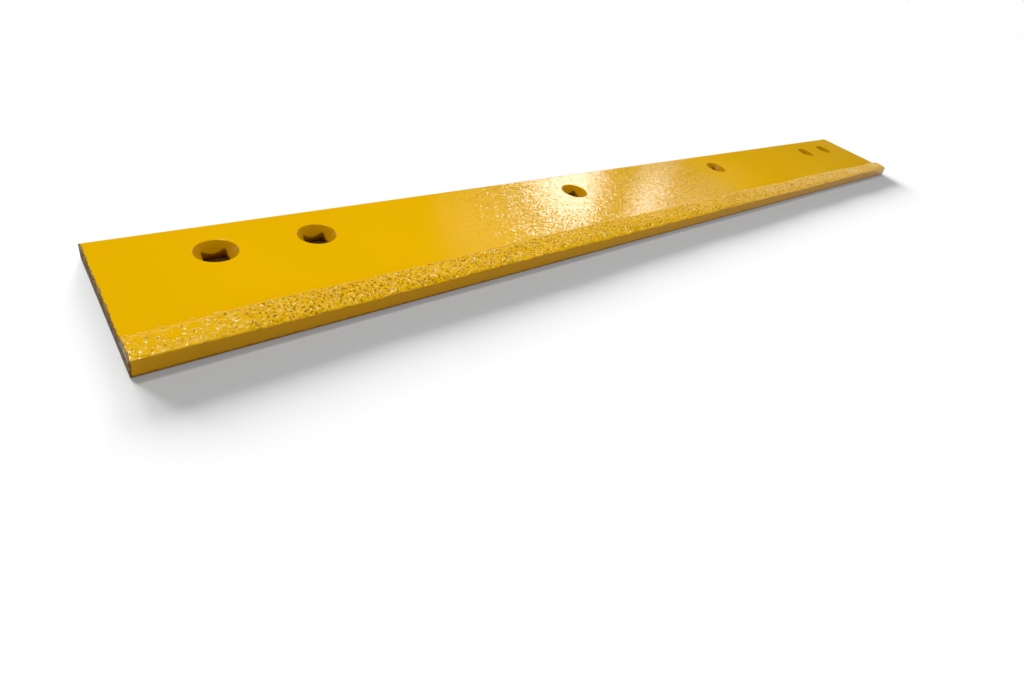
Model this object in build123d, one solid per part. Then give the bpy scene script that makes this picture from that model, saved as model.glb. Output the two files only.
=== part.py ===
from build123d import *
import os
from math import ceil, cos, pi, radians, sin, tan

# Carbide snowplow blade: a punched steel bar with a carbide overlay welded along its cutting edge.
# Millimetres. The blade lies on its back face, with its front face up. The origin is at the middle of
# the back face, +X runs along the blade, +Y points from the cutting edge to the top edge, and +Z points
# out of the front face.

# Rolled bar
bar_length = 1219.2
bar_width = 139.7
bar_thickness = 12.7
rolled_edge_radius = 2.0

# Countersunk square holes for 5/8 in plow bolts, in one row below the top edge
hole_row_inset = 38.1
end_hole_distance = 76.2
end_hole_step = 76.2
hole_pitch = 304.8
square_side = 17.46
square_corner_radius = 2.0
mouth_diameter = 31.75
countersink_angle = 80.0
mouth_rim_radius = 0.6

# Carbide overlay: a deposit of grit in weld metal, whose crown and width wander along the blade
overlay_width = 28.0
overlay_middle_gain = 5.0
overlay_width_wave = 1.2
overlay_width_wave_length = 310.0
overlay_crown = 4.0
overlay_crown_wave = 0.35
overlay_crown_wave_length = 140.0
overlay_front_height = 1.5
overlay_front_wave = 1.0
overlay_front_wave_length = 381.0
overlay_front_roll = 8.0
overlay_toe_slope_width = 10.0
overlay_end_radius = 4.0
end_face_height = 0.3

# Spacing of the points that the overlay's surface passes through, and how far it runs past the overlay
station_spacing = 19.0
row_spacing = 2.5
surface_margin = 5.0

# How far a cutter runs past the face that it opens
cutter_overrun = 1.0

front_edge_y = -bar_width / 2
hole_row_y = bar_width / 2 - hole_row_inset


def hole_positions():
    """X of each hole: two near each end, and the rest evenly spaced at about the standard pitch."""
    outer = bar_length / 2 - end_hole_distance
    inner = outer - end_hole_step
    gaps = max(1, round(2 * inner / hole_pitch))
    between = [-inner + 2 * inner * i / gaps for i in range(gaps + 1)]
    return [-outer, *between, outer]


def plow_bolt_cutter():
    """A square hole with rounded corners, and a cone that opens it to the front face."""
    slope = tan(radians(countersink_angle / 2))
    mouth_radius = mouth_diameter / 2
    radius_inside_neck = square_side / 4
    cone_depth = (mouth_radius - radius_inside_neck) / slope
    square = RectangleRounded(square_side, square_side, square_corner_radius)
    neck = Pos(0, 0, -cutter_overrun) * extrude(square, bar_thickness + cutter_overrun)
    cone = Cone(
        bottom_radius=radius_inside_neck,
        top_radius=mouth_radius + cutter_overrun * slope,
        height=cone_depth + cutter_overrun,
        align=(Align.CENTER, Align.CENTER, Align.MIN),
    )
    return neck + Pos(0, 0, bar_thickness - cone_depth) * cone


def blade_bar():
    """The bar with its rolled long edges. The edge under the overlay stays square."""
    bar = Box(bar_length, bar_width, bar_thickness, align=(Align.CENTER, Align.CENTER, Align.MIN))
    back_edges = bar.edges().filter_by(Axis.X).group_by(Axis.Z)[0]
    top_edge = bar.edges().filter_by(Axis.X).group_by(Axis.Z)[-1].sort_by(Axis.Y)[-1]
    bar = fillet([*back_edges, top_edge], rolled_edge_radius)
    for x in hole_positions():
        bar -= Pos(x, hole_row_y, 0) * plow_bolt_cutter()
    front_face = bar.faces().filter_by(Axis.Z).sort_by(Axis.Z)[-1]
    rims = [edge for wire in front_face.inner_wires() for edge in wire.edges()]
    return fillet(rims, mouth_rim_radius)


def overlay_width_at(x):
    """Width of the overlay: fullest at mid length, with a slow wave."""
    middle = cos(pi * x / bar_length)
    return overlay_width + overlay_middle_gain * middle + overlay_width_wave * sin(
        2 * pi * x / overlay_width_wave_length
    )


def overlay_height_at(x, inset):
    """Height of the overlay above the bar, at a distance inset from the cutting edge.

    Past its inner edge the height is negative, so that the surface passes through the bar's front face.
    """
    crown = overlay_crown + overlay_crown_wave * sin(2 * pi * x / overlay_crown_wave_length)
    front = overlay_front_height + overlay_front_wave * sin(2 * pi * x / overlay_front_wave_length)
    slope_start = overlay_width_at(x) - overlay_toe_slope_width
    if inset < overlay_front_roll:
        return crown - (crown - front) * (1 - inset / overlay_front_roll) ** 2
    if inset < slope_start:
        return crown
    return crown * cos(pi / 2 * (inset - slope_start) / overlay_toe_slope_width)


def spread(start, end, spacing):
    """Evenly spaced values from start to end, at most spacing apart."""
    steps = ceil((end - start) / spacing)
    return [start + (end - start) * i / steps for i in range(steps + 1)]


def carbide_overlay():
    """The deposit: a wavy crowned surface, brought down to the bar and trimmed to its footprint."""
    widest = overlay_width + overlay_middle_gain + overlay_width_wave
    tallest = overlay_crown + overlay_crown_wave
    stations = spread(-bar_length / 2 - surface_margin, bar_length / 2 + surface_margin, station_spacing)
    rows = spread(-surface_margin, widest + surface_margin, row_spacing)
    points = [
        [(x, front_edge_y + inset, bar_thickness + overlay_height_at(x, max(inset, 0))) for x in stations]
        for inset in rows
    ]
    crowned = Face.make_surface_from_array_of_points(points, min_deg=3, max_deg=5)
    deposit = extrude(crowned, amount=bar_thickness, dir=(0, 0, -1))
    footprint = Box(bar_length, widest, tallest, align=(Align.CENTER, Align.MIN, Align.MIN))
    end_edges = footprint.edges().filter_by(Axis.Y).group_by(Axis.Z)[-1]
    footprint = fillet(end_edges, min(overlay_end_radius, tallest - end_face_height))
    return Pos(0, front_edge_y, bar_thickness) * footprint & deposit


os.makedirs("parts", exist_ok=True)
for node, shape in {"blade_bar": blade_bar(), "carbide_overlay": carbide_overlay()}.items():
    export_step(shape, f"parts/{node}.step")
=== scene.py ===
"""Carbide snowplow blade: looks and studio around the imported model. Metres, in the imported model's frame."""
from math import cos, pi, radians, sin

import bmesh
import bpy
import numpy as np
from mathutils import Matrix, Vector
from mathutils.bvhtree import BVHTree


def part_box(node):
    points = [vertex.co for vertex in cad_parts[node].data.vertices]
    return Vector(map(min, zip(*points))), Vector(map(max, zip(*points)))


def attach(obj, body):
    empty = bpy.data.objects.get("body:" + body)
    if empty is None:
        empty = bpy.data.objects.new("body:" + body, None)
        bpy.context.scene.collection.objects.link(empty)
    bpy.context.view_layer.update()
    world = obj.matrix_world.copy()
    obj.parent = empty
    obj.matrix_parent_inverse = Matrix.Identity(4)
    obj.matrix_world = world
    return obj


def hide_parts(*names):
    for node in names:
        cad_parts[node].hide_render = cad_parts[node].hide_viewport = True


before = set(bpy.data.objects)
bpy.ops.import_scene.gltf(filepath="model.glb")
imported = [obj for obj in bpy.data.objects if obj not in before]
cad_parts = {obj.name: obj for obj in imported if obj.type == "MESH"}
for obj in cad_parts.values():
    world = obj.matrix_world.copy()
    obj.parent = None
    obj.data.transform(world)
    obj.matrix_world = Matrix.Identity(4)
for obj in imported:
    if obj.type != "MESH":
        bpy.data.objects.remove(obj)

bpy.context.view_layer.update()

# Camera
CAMERA_PLACE = Vector((-0.64995, -0.40807, 0.31424))
CAMERA_TARGET = Vector((-0.21426, -0.07371, 0.0))
CAMERA_ROLL = radians(17.383)
CAMERA_LENS = 21.191
CAMERA_SHIFT = (-0.0803, -0.0834)

# Light: a high key lamp from behind, and a lamp over the near half, which fades along the blade
KEY_AZIMUTH = radians(-8)
KEY_ELEVATION = radians(70)
KEY_ANGLE = radians(10)
KEY_STRENGTH = 2.24
OVERHEAD_PLACE = Vector((-0.36, -0.02, 0.9))
OVERHEAD_SIZE = 0.6
OVERHEAD_RADIANCE = 1.62
# A low lamp in front, for the edge face of the middle and far parts
FRONT_PLACE = Vector((0.15, -1.6, 0.5))
FRONT_SIZE = 0.9
FRONT_RADIANCE = 1.7

# A dim room that brightens to white at the horizon
ROOM_LEVEL = 0.012
HORIZON_LEVEL = 1.0
# Top of the white horizon and bottom of the dim room: all round, and behind the blade
HORIZON_FADE = (radians(10), radians(27))
BACK_FADE = (radians(4), radians(12))

# Soft boxes stand in one upright plane: its foot, and the direction in which it looks away from the blade
BOX_PLANE_FOOT = Vector((-0.1596, 0.0, 0.0127))
BOX_PLANE_AZIMUTH = radians(48)
BOX_PLANE_DISTANCE = 2.5
# name: shape, then left, right, bottom, top in the plane, then radiance
SOFT_BOXES = {
    "veil": ("ELLIPSE", -0.74, -0.14, 1.02, 1.80, 0.4),
    "spark": ("RECTANGLE", -0.54, -0.34, 1.22, 1.52, 7.0),
    "top": ("RECTANGLE", -0.27, -0.15, 0.93, 1.17, 10.0),
    "bright": ("ELLIPSE", -0.17, 0.15, 0.88, 1.48, 9.0),
    "core": ("ELLIPSE", -0.08, 0.11, 0.96, 1.32, 5.0),
    "side": ("RECTANGLE", 0.33, 0.50, 0.98, 1.28, 6.5),
    "upper": ("RECTANGLE", 0.33, 0.52, 0.72, 0.98, 0.8),
    "low": ("ELLIPSE", 0.47, 0.94, 0.90, 1.22, 1.2),
    "far": ("ELLIPSE", 0.95, 1.95, 1.15, 1.75, 2.5),
}

# Floor, and low suns that light it alone, so that the blade's shadow falls wide and soft on it
FLOOR_SIZE = 60.0
FLOOR_BOUNCE = 0.13
FLOOR_SEEN = 0.22
FLOOR_GLOW = 0.20
# Painted shadow: the floor's colour under the blade, and how far inside its footprint it starts
FLOOR_PAINTED_SHADOW = (0.05, 0.022, 0.004)
PAINTED_SHADOW_MARGIN = 0.012
LOW_AZIMUTHS = (radians(-20), radians(-1), radians(18))
LOW_ELEVATION = radians(14)
LOW_ANGLE = radians(18)
LOW_STRENGTH = 12.5

# Blade sizes that the looks depend on
LENGTH = 1.2192
WIDTH = 0.1397
THICKNESS = 0.0127
EDGE_Y = -WIDTH / 2

# Paint, and its other tones: flecks, grit pits, the holes and the front face darker as painted shade; pale grit
# cells as painted glints, partly thinner paint; paler far grit as painted sheen; darker low edges; sheared ends
YELLOW = (0.83, 0.455, 0.0)
FLECK_SHADE_TAN = (0.58, 0.32, 0.010)
PIT_SHADE_BROWN = (0.36, 0.16, 0.0)
TIP_PALE_GLINT = (0.95, 0.68, 0.12)
FAR_SHEEN_PALE = (0.93, 0.58, 0.13)
HOLE_SHADE_BROWN = (0.54, 0.26, 0.0)
FRONT_SHADE_BROWN = (0.78, 0.375, 0.0)
LOW_BROWN = (0.34, 0.115, 0.0)
END_DARK = (0.10, 0.05, 0.008)
END_PALE = (0.30, 0.18, 0.05)

# Specks in the paint: their size, how far they lean, the stretch of the blade where they are rough, and where the
# flecks of painted shade begin
SPECK_SCALE = 560.0
FLECK_SCALE = 520.0
EARLY_LEAN = 0.06
SPECK_LEAN = 0.026
LEAN_CHANGE = (-0.24, -0.17)
CALM_LEAN = 0.003
ROUGH_START = (-0.37, -0.27)
ROUGH_END = (0.06, 0.15)
SHADE_FLECKS_START = (-0.33, -0.23)

# Grit on the overlay
GRID = 0.0007
GRIT_SEED = 7
GRAIN_TRIES = 26000
GRIT_SUNK = 0.0006
CLUMP_HEIGHT = 0.0006
LUMP_SIZE = 0.013
LUMP_HEIGHT = 0.0009
SCALLOP = 0.003
LUMPS_START = (-0.10, 0.30)
PIT_DEPTH = 0.0005
BURIED = 0.0004
FACET_SCALE = 640.0
FACET_LEAN = 0.40
# Where the painted sheen on the far grit begins
FAR_SHEEN_START = (-0.15, 0.45)


def clamp_box(value, low, high):
    return max(low, min(high, value))


def direction(azimuth, elevation):
    """Unit vector: azimuth from +Y towards +X, elevation above the floor."""
    return Vector((sin(azimuth) * cos(elevation), cos(azimuth) * cos(elevation), sin(elevation)))


def link_object(name, data):
    made = bpy.data.objects.new(name, data)
    bpy.context.scene.collection.objects.link(made)
    return made


def make_camera():
    data = bpy.data.cameras.new("camera")
    data.sensor_width = 36
    data.lens = CAMERA_LENS
    data.shift_x, data.shift_y = CAMERA_SHIFT
    data.clip_start, data.clip_end = 0.01, 200
    camera = link_object("camera", data)
    look = (CAMERA_TARGET - CAMERA_PLACE).to_track_quat("-Z", "Y").to_matrix()
    camera.location = CAMERA_PLACE
    camera.rotation_euler = (look @ Matrix.Rotation(CAMERA_ROLL, 3, "Z")).to_euler()
    bpy.context.scene.camera = camera


class Nodes:
    """Short names for building a node tree."""

    def __init__(self, tree):
        self.tree = tree
        tree.nodes.clear()

    def add(self, kind, inputs=None, **settings):
        node = self.tree.nodes.new(kind)
        for key, value in settings.items():
            setattr(node, key, value)
        for key, value in (inputs or {}).items():
            if isinstance(value, bpy.types.NodeSocket):
                self.tree.links.new(value, node.inputs[key])
            else:
                node.inputs[key].default_value = value
        return node

    def math(self, operation, a, b=None, c=None, clamp=False):
        values = {i: v for i, v in enumerate((a, b, c)) if v is not None}
        return self.add("ShaderNodeMath", values, operation=operation, use_clamp=clamp).outputs[0]

    def vector(self, operation, a, b=None):
        values = {i: v for i, v in enumerate((a, b)) if v is not None}
        return self.add("ShaderNodeVectorMath", values, operation=operation).outputs["Vector"]

    def scaled(self, vector, factor):
        return self.add("ShaderNodeVectorMath", {0: vector, "Scale": factor}, operation="SCALE").outputs["Vector"]

    def dot(self, a, b):
        return self.add("ShaderNodeVectorMath", {0: a, 1: b}, operation="DOT_PRODUCT").outputs["Value"]

    def place(self):
        """Object coordinates, and their X, Y and Z."""
        place = self.add("ShaderNodeTexCoord").outputs["Object"]
        parts = self.add("ShaderNodeSeparateXYZ", {0: place}).outputs
        return place, parts["X"], parts["Y"], parts["Z"]

    def ramp(self, value, low, high, start=0.0, end=1.0):
        settings = {"Value": value, "From Min": low, "From Max": high, "To Min": start, "To Max": end}
        return self.add("ShaderNodeMapRange", settings, interpolation_type="SMOOTHSTEP").outputs["Result"]

    def noise(self, vector, scale, detail=2.0, roughness=0.5, offset=0.0):
        moved = self.vector("ADD", vector, (offset, offset * 0.7, offset * 1.3))
        settings = {"Vector": moved, "Scale": scale, "Detail": detail, "Roughness": roughness}
        return self.add("ShaderNodeTexNoise", settings).outputs["Fac"]

    def speck_values(self, vector, scale):
        """Three random values from -1 to 1 that stay the same over each speck."""
        cell = self.add("ShaderNodeTexVoronoi", {"Vector": vector, "Scale": scale}).outputs["Color"]
        return self.vector("ADD", self.scaled(cell, 2.0), (-1.0, -1.0, -1.0))

    def leaning(self, specks, amount):
        """A normal that leans a different way on each speck: most of them a little, and a few far more."""
        lean = self.scaled(self.scaled(specks, self.dot(specks, specks)), amount)
        upright = self.add("ShaderNodeNewGeometry").outputs["Normal"]
        return self.vector("NORMALIZE", self.vector("ADD", upright, lean))

    def mix(self, factor, a, b):
        node = self.add("ShaderNodeMix", data_type="RGBA")
        for key, value in ((0, factor), (6, a), (7, b)):
            if isinstance(value, bpy.types.NodeSocket):
                self.tree.links.new(value, node.inputs[key])
            elif key:
                node.inputs[key].default_value = (*value, 1.0)
            else:
                node.inputs[key].default_value = value
        return node.outputs[2]


def make_room():
    """World: plain grey, brightening to white near the horizon."""
    world = bpy.data.worlds.new("room")
    bpy.context.scene.world = world
    world.use_nodes = True
    nodes = Nodes(world.node_tree)
    where = nodes.add("ShaderNodeTexCoord").outputs["Generated"]
    height = nodes.add("ShaderNodeSeparateXYZ", {0: where}).outputs["Z"]
    behind = nodes.ramp(nodes.dot(where, direction(BOX_PLANE_AZIMUTH, 0)), 0.45, 0.75)
    low = nodes.ramp(behind, 0.0, 1.0, sin(HORIZON_FADE[0]), sin(BACK_FADE[0]))
    high = nodes.ramp(behind, 0.0, 1.0, sin(HORIZON_FADE[1]), sin(BACK_FADE[1]))
    level = nodes.ramp(height, low, high, HORIZON_LEVEL, ROOM_LEVEL)
    background = nodes.add("ShaderNodeBackground", {"Color": (1, 1, 1, 1), "Strength": level})
    nodes.add("ShaderNodeOutputWorld", {"Surface": background.outputs[0]})


def add_sun(name, azimuth, elevation, angle, strength):
    data = bpy.data.lights.new(name, "SUN")
    data.energy = strength
    data.angle = angle
    sun = link_object(name, data)
    sun.rotation_euler = direction(azimuth, elevation).to_track_quat("Z", "Y").to_euler()
    return sun


def add_area_lamp(name, shape, place, away, width, height, radiance):
    """A flat lamp that the camera doesn't see. It shines against away."""
    data = bpy.data.lights.new(name, "AREA")
    data.shape = shape
    data.size, data.size_y = width, height
    filled = pi / 4 if shape == "ELLIPSE" else 1.0
    data.energy = radiance * pi * width * height * filled
    lamp = link_object(name, data)
    lamp.location = place
    lamp.rotation_euler = away.to_track_quat("Z", "Y").to_euler()
    lamp.visible_camera = False


def make_lamps():
    add_sun("key", KEY_AZIMUTH, KEY_ELEVATION, KEY_ANGLE, KEY_STRENGTH)
    add_area_lamp("overhead", "RECTANGLE", OVERHEAD_PLACE, Vector((0, 0, 1)), OVERHEAD_SIZE, OVERHEAD_SIZE,
                  OVERHEAD_RADIANCE)
    add_area_lamp("front", "ELLIPSE", FRONT_PLACE, FRONT_PLACE, FRONT_SIZE, FRONT_SIZE, FRONT_RADIANCE)
    away = direction(BOX_PLANE_AZIMUTH, 0)
    along = Vector((away.y, -away.x, 0))
    for name, (shape, left, right, bottom, top, radiance) in SOFT_BOXES.items():
        middle = BOX_PLANE_FOOT + away * BOX_PLANE_DISTANCE + along * (left + right) / 2
        middle.z += (bottom + top) / 2
        add_area_lamp(name, shape, middle, away, right - left, top - bottom, radiance)


def make_floor():
    """Pale floor: white where it is seen, and plainer in the light that it gives back to the object, with a
    painted shadow under the blade.
    """
    mesh = bpy.data.meshes.new("floor")
    h = FLOOR_SIZE / 2
    mesh.from_pydata([(-h, -h, 0), (h, -h, 0), (h, h, 0), (-h, h, 0)], [], [(0, 1, 2, 3)])
    floor = link_object("floor", mesh)
    material = bpy.data.materials.new("floor_white")
    material.use_nodes = True
    nodes = Nodes(material.node_tree)
    path = nodes.add("ShaderNodeLightPath").outputs
    seen = nodes.math("ADD", path["Is Camera Ray"], path["Is Glossy Ray"])
    seen = nodes.math("ADD", seen, path["Is Transmission Ray"], clamp=True)
    x, y = nodes.place()[1:3]
    # Painted shadow: under the blade's footprint the floor is dark where seen and gives no glow
    across = nodes.ramp(nodes.math("ABSOLUTE", y), WIDTH / 2 - PAINTED_SHADOW_MARGIN, WIDTH / 2, 1.0, 0.0)
    along = nodes.ramp(nodes.math("ABSOLUTE", x), LENGTH / 2 - PAINTED_SHADOW_MARGIN, LENGTH / 2, 1.0, 0.0)
    painted_shadow = nodes.math("MULTIPLY", across, along)
    colour = nodes.mix(painted_shadow, (FLOOR_SEEN,) * 3, FLOOR_PAINTED_SHADOW)
    colour = nodes.mix(seen, (FLOOR_BOUNCE,) * 3, colour)
    glow = nodes.math("MULTIPLY", nodes.math("MULTIPLY", seen, FLOOR_GLOW), nodes.math("SUBTRACT", 1.0, painted_shadow))
    white = nodes.add("ShaderNodeBsdfDiffuse", {"Color": colour}).outputs[0]
    light = nodes.add("ShaderNodeEmission", {"Color": (1, 1, 1, 1), "Strength": glow}).outputs[0]
    both = nodes.add("ShaderNodeAddShader", {0: white, 1: light}).outputs[0]
    nodes.add("ShaderNodeOutputMaterial", {"Surface": both})
    mesh.materials.append(material)
    lit = bpy.data.collections.new("floor_lit")
    lit.objects.link(floor)
    for number, azimuth in enumerate(LOW_AZIMUTHS):
        sun = add_sun(f"low_{number}", azimuth, LOW_ELEVATION, LOW_ANGLE, LOW_STRENGTH)
        sun.light_linking.receiver_collection = lit


def sheared_end(nodes, x, patchy):
    """How much the sheared ends and the chipped rim round them show, and their colour."""
    ragged = nodes.math("ADD", nodes.math("ABSOLUTE", x), nodes.math("MULTIPLY", patchy, 0.004))
    ends = nodes.ramp(ragged, LENGTH / 2 + 0.0006, LENGTH / 2 + 0.0012)
    return ends, nodes.mix(nodes.ramp(patchy, 0.38, 0.62), END_DARK, END_PALE)


def painted_bar():
    """Glossy yellow paint, specked in the middle with flecks of painted shade, painted shade in the holes and on
    the front face, brown on the ends and the low edges.
    """
    material = bpy.data.materials.new("painted_bar")
    material.use_nodes = True
    nodes = Nodes(material.node_tree)
    place, x, y, z = nodes.place()
    patchy = nodes.noise(place, 260.0, 4.0, 0.65, offset=5.0)
    ends, steel = sheared_end(nodes, x, patchy)
    rough_part = nodes.math("MULTIPLY", nodes.ramp(x, *ROUGH_START), nodes.ramp(x, *ROUGH_END, 1.0, 0.0))
    cloud = nodes.noise(place, 9.0, 2.0)
    paint = nodes.mix(nodes.ramp(cloud, 0.3, 0.7), [c * 0.985 for c in YELLOW], [c * 1.015 for c in YELLOW])
    # Flecks of painted shade: darker specks in the rough stretch, standing in for specks turned away from the
    # light
    shade_fleck = nodes.ramp(nodes.noise(place, FLECK_SCALE, 1.0, 0.5, offset=2.0), 0.50, 0.60)
    shade_flecked_part = nodes.math("MULTIPLY", rough_part, nodes.ramp(x, *SHADE_FLECKS_START))
    paint = nodes.mix(nodes.math("MULTIPLY", shade_fleck, shade_flecked_part), paint, FLECK_SHADE_TAN)
    # Painted shade in the holes: darker paint below the top face and away from the front face, which also covers
    # the back and bottom faces
    below_top = nodes.ramp(z, THICKNESS - 0.0008, THICKNESS - 0.0003, 1.0, 0.0)
    paint = nodes.mix(nodes.math("MULTIPLY", below_top, nodes.ramp(y, EDGE_Y + 0.006, EDGE_Y + 0.01)),
                      paint, HOLE_SHADE_BROWN)
    # Painted shade on the front face: browner paint there
    paint = nodes.mix(nodes.ramp(y, EDGE_Y + 0.0006, EDGE_Y + 0.0002), paint, FRONT_SHADE_BROWN)
    # Darker towards the bottom, with a ragged top
    low = nodes.ramp(nodes.math("ADD", z, nodes.math("MULTIPLY", patchy, -0.003)), 0.0022, -0.0002)
    paint = nodes.mix(low, paint, LOW_BROWN)
    base = nodes.mix(ends, paint, steel)
    rough = nodes.ramp(cloud, 0.3, 0.7, 0.11, 0.15)
    rough = nodes.math("MAXIMUM", rough, nodes.math("MULTIPLY", ends, 0.7))
    lean = nodes.math("MULTIPLY", rough_part, nodes.ramp(x, *LEAN_CHANGE, EARLY_LEAN, SPECK_LEAN))
    lean = nodes.math("ADD", lean, CALM_LEAN)
    normal = nodes.leaning(nodes.speck_values(place, SPECK_SCALE), lean)
    depth = nodes.math("MULTIPLY", patchy, ends)
    bump = nodes.add("ShaderNodeBump", {"Strength": 0.6, "Distance": 0.0012, "Height": depth,
                                        "Normal": normal}).outputs[0]
    settings = {"Base Color": base, "Roughness": rough, "Normal": bump, "Specular IOR Level": 0.2}
    shader = nodes.add("ShaderNodeBsdfPrincipled", settings)
    nodes.add("ShaderNodeOutputMaterial", {"Surface": shader.outputs[0]})
    return material


def painted_grit():
    """The same paint over grit: small facets, painted shade in the pits, on random cells and on the front face,
    paler cells as painted glints, and painted sheen towards the far end.
    """
    material = bpy.data.materials.new("painted_grit")
    material.use_nodes = True
    nodes = Nodes(material.node_tree)
    place, x, y, z = nodes.place()
    ends, steel = sheared_end(nodes, x, nodes.noise(place, 260.0, 4.0, 0.65, offset=5.0))
    pit_shade = nodes.add("ShaderNodeAttribute", attribute_name="pit_shade").outputs["Fac"]
    gritty = nodes.add("ShaderNodeAttribute", attribute_name="gritty").outputs["Fac"]
    specks = nodes.speck_values(place, FACET_SCALE)
    other = nodes.speck_values(nodes.vector("ADD", place, (3.1, 1.7, 0.9)), FACET_SCALE)
    tones = nodes.add("ShaderNodeSeparateXYZ", {0: other}).outputs
    grain = nodes.noise(place, 900.0, 2.0, 0.6)
    # Painted shade in the hollows between grains, with darker random grit cells
    dice = nodes.math("MULTIPLY", tones["X"], gritty)
    painted_pit_shade = nodes.ramp(nodes.math("ADD", pit_shade, nodes.math("MULTIPLY", dice, 0.6)), 0.34, 0.95)
    # Paler random cells: painted glints, partly thinner paint on the grit
    pale_glint = nodes.ramp(nodes.math("MULTIPLY", tones["Y"], gritty), 0.45, 0.95)
    # Painted sheen: paler grit towards the far end
    far_sheen = nodes.math("MULTIPLY", nodes.ramp(x, *FAR_SHEEN_START), nodes.ramp(grain, 0.4, 0.6, 0.35, 0.85))
    base = nodes.mix(far_sheen, YELLOW, FAR_SHEEN_PALE)
    base = nodes.mix(pale_glint, base, TIP_PALE_GLINT)
    base = nodes.mix(painted_pit_shade, base, PIT_SHADE_BROWN)
    # Painted shade on the overlay's front face, as on the bar's
    face = nodes.math("MULTIPLY", nodes.ramp(y, EDGE_Y + 0.0004, EDGE_Y + 0.0001),
                      nodes.ramp(z, THICKNESS + 0.002, THICKNESS + 0.0005))
    base = nodes.mix(ends, nodes.mix(face, base, FRONT_SHADE_BROWN), steel)
    normal = nodes.leaning(specks, nodes.math("MULTIPLY", gritty, FACET_LEAN))
    height = nodes.math("MULTIPLY", grain, gritty)
    bump = nodes.add("ShaderNodeBump", {"Strength": 0.5, "Distance": 0.0006, "Height": height,
                                        "Normal": normal}).outputs[0]
    rough = nodes.ramp(grain, 0.35, 0.65, 0.10, 0.18)
    settings = {"Base Color": base, "Roughness": rough, "Normal": bump, "Specular IOR Level": 0.2}
    shader = nodes.add("ShaderNodeBsdfPrincipled", settings)
    nodes.add("ShaderNodeOutputMaterial", {"Surface": shader.outputs[0]})
    return material


def smooth_step(value, low, high):
    t = np.clip((value - low) / (high - low), 0, 1)
    return t * t * (3 - 2 * t)


def surface_under(xs, insets, node):
    """Height of the node's surface above the bar on a grid, and below the bar's face past its inner edge."""
    mesh = node.data
    tree = BVHTree.FromPolygons([v.co for v in mesh.vertices], [p.vertices for p in mesh.polygons])
    down = Vector((0, 0, -1))
    height = np.full((len(xs), len(insets)), -BURIED)
    edge = LENGTH / 2 - 0.00002
    for i, x in enumerate(xs):
        for j, inset in enumerate(insets):
            start = Vector((clamp_box(x, -edge, edge), EDGE_Y + max(inset, 0.00002), 1.0))
            hit = tree.ray_cast(start, down)[0]
            if hit is not None:
                height[i, j] = hit.z - THICKNESS
    return height


def toe_of(height, insets):
    """Distance of the overlay's inner edge from the cutting edge, at each station."""
    rows = (height > -BURIED / 2).sum(axis=1)
    return insets[np.clip(rows, 1, len(insets)) - 1]


def value_noise(rng, xs, insets, size):
    """Smooth seeded noise from -1 to 1 on the grid, with lumps of about the given size."""
    columns = int((xs[-1] - xs[0]) / size) + 3
    rows = int((insets[-1] - insets[0]) / size) + 3
    corners = rng.uniform(-1, 1, (columns, rows))
    u, v = (xs - xs[0]) / size, (insets - insets[0]) / size
    i, j = u.astype(int), v.astype(int)
    a, b = smooth_step(u - i, 0, 1)[:, None], smooth_step(v - j, 0, 1)[None, :]
    near = corners[i][:, j] * (1 - b) + corners[i][:, j + 1] * b
    far = corners[i + 1][:, j] * (1 - b) + corners[i + 1][:, j + 1] * b
    return near * (1 - a) + far * a


def scatter_grains(rng, xs, insets, toe):
    """Height of the grit over the smooth deposit, between 0 and about 1 mm, as lumps that run into each other."""
    grit = np.zeros((len(xs), len(insets)))
    step = xs[1] - xs[0]
    row_step = insets[1] - insets[0]
    for _ in range(GRAIN_TRIES):
        x = rng.uniform(-LENGTH / 2, LENGTH / 2)
        station = int(clamp_box((x + LENGTH / 2) / step, 0, len(xs) - 1))
        depth = rng.uniform(0.0, insets[-1])
        room = toe[station] - depth
        from_end = x + LENGTH / 2
        chance = float(smooth_step(room, -0.001, 0.005)) * (0.5 + 0.5 * float(smooth_step(depth, 0.0, 0.003)))
        chance *= 0.22 + 0.78 * float(smooth_step(from_end, 0.04, 0.075))
        if rng.random() > chance:
            continue
        coarse = 1.0 - float(smooth_step(from_end, 0.04, 0.09))
        radius = rng.uniform(0.0007, 0.0013) * (1 + 0.3 * coarse)
        tall = rng.uniform(0.0004, 0.0011) * (1 - 0.1 * coarse)
        turn = rng.uniform(0, pi)
        stretch = rng.uniform(0.7, 1.0)
        lean = rng.uniform(-0.4, 0.4, 2)
        reach = int(radius / min(step, row_step)) + 1
        j0 = int(depth / row_step)
        i_low, i_high = max(0, station - reach), min(len(xs), station + reach + 1)
        j_low, j_high = max(0, j0 - reach), min(len(insets), j0 + reach + 1)
        dx = xs[i_low:i_high, None] - x
        dy = insets[None, j_low:j_high] - depth
        u = (dx * cos(turn) + dy * sin(turn)) / radius
        v = (-dx * sin(turn) + dy * cos(turn)) / (radius * stretch)
        dome = np.clip(1 - u * u - v * v, 0, None) ** 0.7
        lump = tall * dome * (1 + lean[0] * u + lean[1] * v)
        patch = grit[i_low:i_high, j_low:j_high]
        np.maximum(patch, lump, out=patch)
    return grit


def blurred(grid, reach):
    """Mean of a grid over a small square round each point."""
    result = grid
    for axis in (0, 1):
        padded = np.pad(result, [(reach, reach) if a == axis else (0, 0) for a in (0, 1)], mode="edge")
        total = sum(np.roll(padded, shift, axis) for shift in range(-reach, reach + 1))
        keep = [slice(reach, -reach) if a == axis else slice(None) for a in (0, 1)]
        result = total[tuple(keep)] / (2 * reach + 1)
    return result


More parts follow.
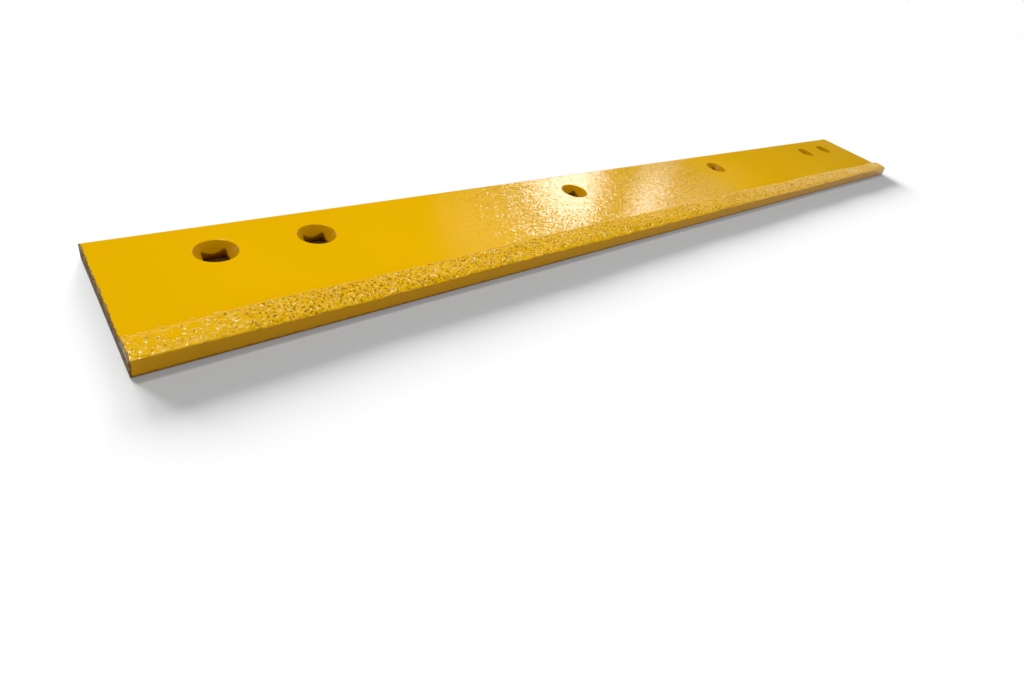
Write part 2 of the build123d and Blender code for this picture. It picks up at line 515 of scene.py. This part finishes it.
def grit_overlay(node):
    """The deposit's own surface with grit on it, as one closed mesh that reaches a little way into the bar."""
    rng = np.random.default_rng(GRIT_SEED)
    low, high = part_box("carbide_overlay")
    columns = round((high.x - low.x) / GRID)
    rows = round((high.y - low.y) / GRID) + 1
    xs = np.linspace(low.x, high.x, columns + 1)
    insets = np.linspace(0.0, high.y - low.y, rows + 1)
    smooth = surface_under(xs, insets, node)
    toe = toe_of(smooth, insets)
    grit = scatter_grains(rng, xs, insets, toe)
    dense = smooth_step(xs + LENGTH / 2, 0.04, 0.08)[:, None]
    lumpy = smooth_step(xs, *LUMPS_START)[:, None]
    lumps = value_noise(rng, xs, insets, LUMP_SIZE)
    room = toe[:, None] - insets[None, :] - SCALLOP * lumpy * (0.5 + 0.5 * lumps)
    flattened = smooth * smooth_step(room, 0.0, 0.005 + 0.007 * (1 - dense))
    smooth = np.where(smooth > 0, flattened, smooth)
    cover = smooth_step(smooth, -BURIED, 0.0012)
    clumps = 0.6 * value_noise(rng, xs, insets, 0.009) + 0.4 * value_noise(rng, xs, insets, 0.005)
    height = smooth + CLUMP_HEIGHT * clumps * (0.15 + 0.85 * dense) * smooth_step(smooth, -BURIED, 0.0006)
    height += LUMP_HEIGHT * lumps * lumpy * smooth_step(smooth, 0.0, 0.002)
    height += grit * (0.55 + 0.45 * cover) - GRIT_SUNK * cover * (0.3 + 0.7 * dense)
    top = high.z - THICKNESS - 0.00003
    height = np.minimum(height, top)
    height[:, 0] = np.maximum(height[:, 0], 0.0002)
    verts = [(x, EDGE_Y + inset, THICKNESS + height[i, j])
             for i, x in enumerate(xs) for j, inset in enumerate(insets)]
    across = len(insets)
    shown = height > 0
    last = np.array([max(1, (np.nonzero(row)[0].max() if row.any() else 0) + 1) for row in shown])
    faces = []
    for i in range(len(xs) - 1):
        for j in range(min(across - 1, max(last[i], last[i + 1]))):
            a = i * across + j
            faces.append((a, a + across, a + across + 1, a + 1))
    mesh = bpy.data.meshes.new("overlay_grit")
    mesh.from_pydata(verts, [], faces)
    relief = height - smooth
    # How deep each point lies in a hollow between grains, for the material's painted shade
    pit_shade = np.clip((blurred(relief, 3) - relief) / PIT_DEPTH, 0, 1) * dense
    gritty = blurred((grit > 0.0001).astype(float), 2)
    for name, values in {"pit_shade": pit_shade, "gritty": gritty}.items():
        attribute = mesh.attributes.new(name, "FLOAT", "POINT")
        attribute.data.foreach_set("value", values.astype(np.float32).ravel())
    close_below(mesh)
    mesh.shade_smooth()
    mesh.set_sharp_from_angle(angle=radians(65))
    return link_object("overlay_grit", mesh)


def close_below(mesh):
    """Brings the sheet's rim down to the bar's face and then a little way into the bar, and closes it there."""
    solid = bmesh.new()
    solid.from_mesh(mesh)
    bmesh.ops.delete(solid, geom=[v for v in solid.verts if not v.link_faces], context="VERTS")
    for inside in (False, True):
        rim = [e for e in solid.edges if e.is_boundary]
        wall = bmesh.ops.extrude_edge_only(solid, edges=rim)["geom"]
        for vert in (g for g in wall if isinstance(g, bmesh.types.BMVert)):
            if inside:
                vert.co.z = THICKNESS - 2 * BURIED
                vert.co.x *= 1 - BURIED / LENGTH
                vert.co.y = max(vert.co.y, EDGE_Y + BURIED)
            else:
                vert.co.z = min(vert.co.z, THICKNESS)
    bmesh.ops.holes_fill(solid, edges=[e for e in solid.edges if e.is_boundary])
    bmesh.ops.remove_doubles(solid, verts=solid.verts, dist=1e-7)
    bmesh.ops.recalc_face_normals(solid, faces=solid.faces)
    solid.to_mesh(mesh)
    solid.free()


make_camera()
make_room()
make_lamps()
make_floor()

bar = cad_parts["blade_bar"]
bar.data.materials.clear()
bar.data.materials.append(painted_bar())

overlay = grit_overlay(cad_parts["carbide_overlay"])
overlay.data.materials.append(painted_grit())
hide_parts("carbide_overlay")
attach(overlay, "root")

bpy.context.scene.view_settings.view_transform = "Standard"
